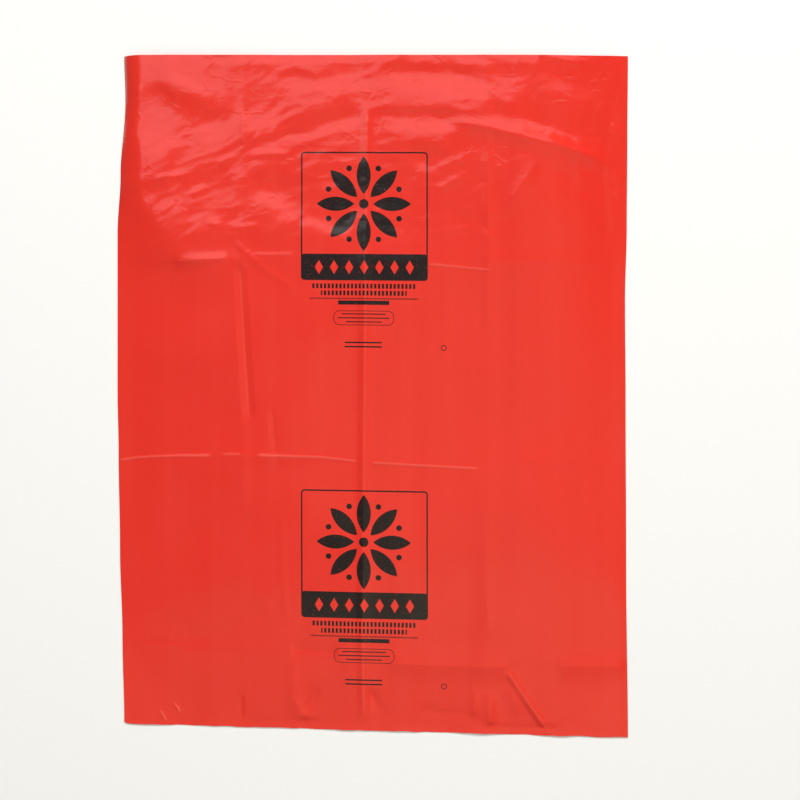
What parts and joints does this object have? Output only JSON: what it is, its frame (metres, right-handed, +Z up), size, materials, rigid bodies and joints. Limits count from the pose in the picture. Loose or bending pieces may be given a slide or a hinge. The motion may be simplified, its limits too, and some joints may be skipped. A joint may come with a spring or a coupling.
{
  "type": "biohazard waste bag",
  "caption": "Large red polythene film bag for infectious waste, lying flat, with folded sides, a heat-sealed bottom and an open mouth.",
  "frame": {"origin": "centre of the flat back wall, on the surface that the bag lies on", "axes": "+Y along the bag from its sealed bottom to its open mouth, +X across it, +Z up out of the printed front wall"},
  "size_m": [0.9, 1.2, 0.0213],
  "materials": {
    "red_film": "semi-gloss blown polythene film"
  },
  "bodies": {
    "root": {"waste_bag": "red_film"}
  },
  "joints": []
}
